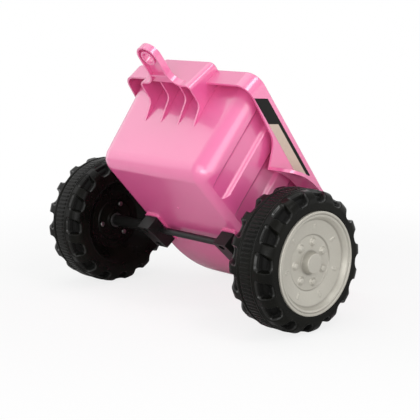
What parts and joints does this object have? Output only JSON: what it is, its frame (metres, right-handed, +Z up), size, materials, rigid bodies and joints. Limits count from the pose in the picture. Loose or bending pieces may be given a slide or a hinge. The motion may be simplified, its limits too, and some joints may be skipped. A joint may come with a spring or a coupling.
{
  "type": "toy tipping trailer",
  "caption": "Child's pink plastic tipping trailer on two wheels with a tow eye, tipped back onto the tail of its tub.",
  "frame": {"origin": "on the floor, under the middle of the part's box", "axes": "+X along the axle to the side that is on the right in the picture, +Y to the tail, +Z up, in the tipped pose"},
  "size_m": [0.4748, 0.3068, 0.3752],
  "materials": {
    "pink_plastic": "gloss moulded",
    "tyre_plastic": "satin moulded",
    "black_plastic": "satin moulded",
    "silver_plastic": "satin metallic",
    "black_steel": "black painted",
    "steel": "zinc plated",
    "bush_plastic": "satin moulded",
    "sticker": "printed film"
  },
  "bodies": {
    "trailer": {"tub": "pink_plastic", "tow_tongue": "pink_plastic", "axle_rod": "black_steel", "clamp_screws": "steel", "sticker_left": "sticker", "axle_clamp_left": "black_plastic", "axle_spacer_left": "black_plastic", "axle_washer_left": "steel", "axle_end_cap_left": "steel", "sticker_right": "sticker", "axle_clamp_right": "black_plastic", "axle_spacer_right": "black_plastic", "axle_washer_right": "steel", "axle_end_cap_right": "steel"},
    "wheel_left_set": {"wheel_left": "tyre_plastic", "hub_cap_left": "silver_plastic", "hub_screws_left": "steel", "inner_bush_left": "bush_plastic", "outer_bush_left": "bush_plastic"},
    "wheel_right_set": {"wheel_right": "tyre_plastic", "hub_cap_right": "silver_plastic", "hub_screws_right": "steel", "inner_bush_right": "bush_plastic", "outer_bush_right": "bush_plastic"}
  },
  "joints": [
    {"name": "wheel_left_roll", "type": "hinge", "parent": "trailer", "child": "wheel_left_set", "pos_m": [-0.1986, -0.05736, 0.095], "axis": [1, 0, 0], "continuous": true},
    {"name": "wheel_right_roll", "type": "hinge", "parent": "trailer", "child": "wheel_right_set", "pos_m": [0.1986, -0.05736, 0.095], "axis": [1, 0, 0], "continuous": true}
  ]
}
